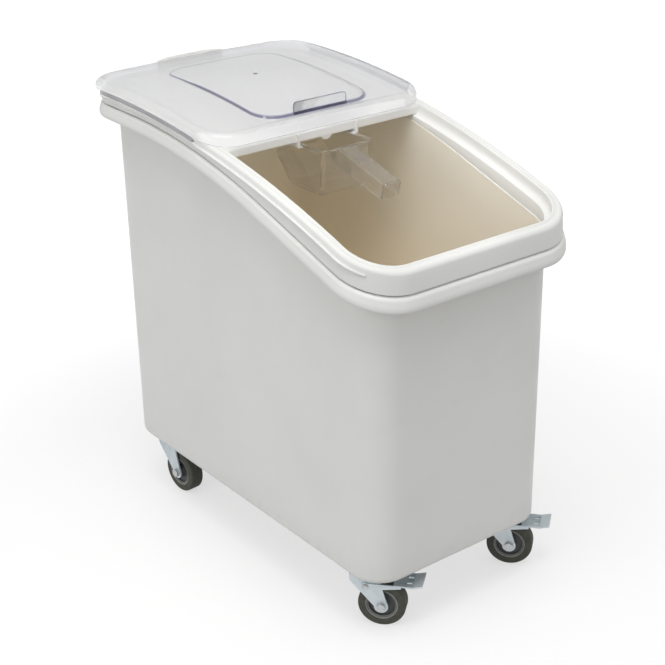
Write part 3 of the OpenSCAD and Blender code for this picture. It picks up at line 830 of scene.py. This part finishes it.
def scoop_bowl():
    """Thin clear bowl with round corners and flanges, open to the rear."""
    r_plan, r_floor, r_front, bend = 0.012, 0.010, 0.012, 0.0015
    plan_start, seat = 0.003, 0.0001
    front, front_lean = SCOOP_Y0 + 0.0095, 0.0085
    rear_depth, floor_flat = 0.4, 0.35
    floor_share, bend_share = 0.45, 0.2
    brim = SCOOP_TOP - FLANGE_T + SCOOP_T / 2 + seat

    path = [(SCOOP_Y1, rear_depth * SCOOP_D)]
    for k in (0.2, 0.4, 0.6, 0.8, 0.93):
        path.append((SCOOP_Y0 + SCOOP_L * (1 - k / 3), SCOOP_D * (rear_depth + (1 - rear_depth) * k)))
    path += [(SCOOP_Y0 + SCOOP_L * k, SCOOP_D) for k in (0.62, 0.5, 0.36, 0.24)]
    path += [(y, SCOOP_D - rise) for y, rise in quarter(front + r_front, 0.0, front - 0.001, r_front)]
    path += [(front - front_lean * k, (SCOOP_D - r_front) * (1 - k)) for k in (0.2, 0.4, 0.6, 0.8, 0.95)]
    path += [(SCOOP_Y0 + 0.0006, 0.0012), (SCOOP_Y0 - 0.001, 0.0), (SCOOP_Y0 - 0.005, 0.0)]
    rows = []
    for y, depth in path:
        inset = r_plan - min(r_plan, max(0.0, y - SCOOP_Y0 + plan_start))
        hx = SCOOP_HX - r_plan + math.sqrt(r_plan * r_plan - inset * inset)
        r = min(r_floor, depth * floor_share)
        low = brim - depth
        side = [(hx + FLANGE_W, brim), (hx + bend, brim), (hx, brim - min(bend, depth * bend_share))]
        side.append((hx, low + r + (depth - r) / 2))
        side += [(hx - r + r * math.cos(a), low + r - r * math.sin(a)) for a in quarter_turn(5)]
        side.append((hx * floor_flat, low))
        rows.append([(x, y, z) for x, z in mirrored(side)])
    bm = bmesh.new()
    grid = [[bm.verts.new(p) for p in row] for row in rows]
    for a, b in zip(grid, grid[1:]):
        for i in range(len(a) - 1):
            bm.faces.new((a[i], a[i + 1], b[i + 1], b[i]))
    piece = new_mesh("scoop_bowl", bm, CLEAR_SCOOP, "scoop", 50)
    thick = piece.modifiers.new("thickness", "SOLIDIFY")
    thick.thickness = SCOOP_T
    thick.offset = 0.0
    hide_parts("scoop")


def scoop_handle():
    """Hollow handle, open underneath, with a closed round end."""
    steps = 16
    t, r = SCOOP_T, 0.006
    end_in = 0.0003
    c, s = math.cos(HANDLE_SLOPE), math.sin(HANDLE_SLOPE)
    root = Vector((0, SCOOP_Y0 + 0.001, SCOOP_TOP - FLANGE_T))

    def arch(hx, high, radius):
        return mirrored([(-hx, -HANDLE_H)] + round_corner(hx, high, radius, 6))

    def placed(x, along, z):
        return (x, root.y - along * c - z * s, root.z - along * s + z * c)

    section = arch(HANDLE_HX, 0.0, r) + list(reversed(arch(HANDLE_HX - t, -t, r - t)))
    sections = [[placed(x, HANDLE_L * i / steps, z) for x, z in section] for i in range(steps + 1)]
    piece = new_mesh("scoop_handle", sweep(sections), CLEAR_SCOOP, "scoop")
    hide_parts("scoop")
    full = arch(HANDLE_HX - end_in, -end_in, r)
    cap = []
    for past, scale in ((-t, 1.0), (-0.0008, 1.0), (-0.0001, 0.95)):
        cap.append([placed(x * scale, HANDLE_L + past, z) for x, z in full])
    piece = new_mesh("scoop_handle_end", sweep(cap), CLEAR_SCOOP, "scoop")
    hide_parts("scoop")


# Casters

def dress_casters():
    """Materials for the caster nodes."""
    finish = {"core": CORE, "tyre": TYRE}
    for kind in ("plate", "fork", "pedal"):
        finish[kind] = ZINC
    for kind in ("kingpin", "race", "bush", "axle", "nut", "pedal_pin", "screws"):
        finish[kind] = STEEL
    for node, obj in NODES.items():
        kind = node.rsplit("_", 1)[0]
        if kind in finish:
            obj.data.materials.clear()
            obj.data.materials.append(finish[kind])


def wheel_rings():
    """Pale ring on each side of a wheel, between its centre and its tyre."""
    profile = ((-0.0014, -0.0016), (-0.0010, -0.0002), (0.0, 0.0002), (0.0008, -0.0002), (0.0010, -0.0014))
    turn = full_turn(48)
    up = Vector((0, 0, 1))
    for caster in CASTERS:
        joint = JOINTS["wheel_" + caster]
        centre, axis = Vector(joint["pos_m"]), Vector(joint["axis"]).normalized()
        across = axis.cross(up)
        for side, letter in ((-1, "a"), (1, "b")):
            rings = []
            for wider, out in profile:
                r = CORE_R + wider
                mid = centre + axis * (side * (WHEEL_W / 2 + out))
                rings.append([mid + across * (r * math.cos(a)) + up * (r * math.sin(a)) for a in turn])
            name = f"wheel_ring_{caster}_{letter}"
            new_mesh(name, loft(rings, loop=True), RING, "wheel_" + caster)


# Stage

def place_object(name, data, place, toward):
    """Puts a lamp or the camera into the scene, turned to look along a direction."""
    obj = bpy.data.objects.new(name, data)
    obj.location = place
    obj.rotation_euler = toward.to_track_quat("-Z", "Y").to_euler()
    bpy.context.scene.collection.objects.link(obj)
    return obj


def paper_floor():
    """Pale floor that takes the shadow and goes to white with distance."""
    near, far = 0.55, 1.5
    glow, far_glow = 0.60, 0.36
    n = Nodes("floor_paper")
    n.set(Specular_IOR_Level=0.0, Emission_Color=(1, 1, 1, 1))
    spot = n.xyz(n.place)
    reach = n.math("SQRT", n.sum(n.times(spot[0], spot[0]), n.times(spot[1], spot[1])))
    away = n.span(reach, near, far)
    colour = n.mix(away, (0.42, 0.42, 0.42), (0.25, 0.25, 0.25))
    n.feed(Base_Color=colour, Roughness=n.span(n.noise(3.0), 0.3, 0.7, 0.85, 0.95))
    ray = n.add("ShaderNodeLightPath").outputs
    seen = n.most(ray["Is Camera Ray"], n.most(ray["Is Glossy Ray"], ray["Is Transmission Ray"]))
    n.feed(Emission_Strength=n.times(seen, n.sum(n.times(away, far_glow), glow)))
    bm = bmesh.new()
    bmesh.ops.create_grid(bm, x_segments=8, y_segments=8, size=9)
    mesh = bpy.data.meshes.new("floor")
    bm.to_mesh(mesh)
    bm.free()
    mesh.materials.append(n.material)
    floor = bpy.data.objects.new("floor", mesh)
    bpy.context.scene.collection.objects.link(floor)


def studio_world():
    """White surroundings that light the part less brightly than they look."""
    light_strength, seen_strength = 0.57, 1.0
    world = bpy.data.worlds.new("studio")
    bpy.context.scene.world = world
    world.use_nodes = True
    tree = world.node_tree
    sky = tree.nodes["Background"]
    sky.inputs["Color"].default_value = (1, 1, 1, 1)
    path = tree.nodes.new("ShaderNodeLightPath")
    most = tree.nodes.new("ShaderNodeMath")
    most.operation = "MAXIMUM"
    tree.links.new(path.outputs["Is Camera Ray"], most.inputs[0])
    tree.links.new(path.outputs["Is Transmission Ray"], most.inputs[1])
    level = tree.nodes.new("ShaderNodeMapRange")
    level.inputs["To Min"].default_value = light_strength
    level.inputs["To Max"].default_value = seen_strength
    tree.links.new(most.outputs["Value"], level.inputs["Value"])
    tree.links.new(level.outputs["Result"], sky.inputs["Strength"])


def lights():
    """Soft key from above, fills from the left and the front, and a narrow fill into the tub."""
    middle = Vector((0, 0, 0.4))
    # Name, place, side length and power
    lamps = (
        ("key", (-0.6, -0.7, 3.3), 1.7, 37),
        ("left", (-2.6, -0.2, 1.3), 1.4, 13),
        ("front", (0.5, -3.0, 1.3), 1.6, 6),
    )
    for name, place, size, power in lamps:
        lamp = bpy.data.lights.new(name, "AREA")
        lamp.shape = "SQUARE"
        lamp.size = size
        lamp.energy = power
        place_object(name, lamp, place, middle - Vector(place))
    well_place, well_target = Vector((-0.35, -0.85, 2.2)), Vector((0.06, -0.05, 0.35))
    well = bpy.data.lights.new("well", "SPOT")
    well.energy = 190
    well.spot_size = math.radians(8.5)
    well.spot_blend = 1.0
    well.shadow_soft_size = 0.12
    place_object("well", well, well_place, well_target - well_place)


def photo_camera():
    """Camera where the photograph was taken from, with its focal length and optical centre in pixels."""
    place = (-1.3608, -1.8154, 1.4004)
    azimuth, elevation = math.radians(-39.5), math.radians(24.88)
    image_px, focal_px, centre_px = 665.0, 1537.7, (390.3, 334.5)
    level = math.cos(elevation)
    toward = Vector((-math.sin(azimuth) * level, math.cos(azimuth) * level, -math.sin(elevation)))
    camera = bpy.data.cameras.new("camera")
    camera.sensor_width = 36.0
    camera.lens = focal_px / image_px * camera.sensor_width
    camera.shift_x = (image_px / 2 - centre_px[0]) / image_px
    camera.shift_y = (centre_px[1] - image_px / 2) / image_px
    camera.clip_end = 50
    bpy.context.scene.camera = place_object("camera", camera, place, toward)
    bpy.context.scene.view_settings.view_transform = "Standard"


tub()
floor_bosses()
frame_ring()
deck()
side_rails()
scoop_rails()
deck_tab()
rear_stop()
lid_plate()
lid_skirts()
lid_pull()
gate_mark()
scoop_bowl()
scoop_handle()
dress_casters()
wheel_rings()
paper_floor()
studio_world()
lights()
photo_camera()
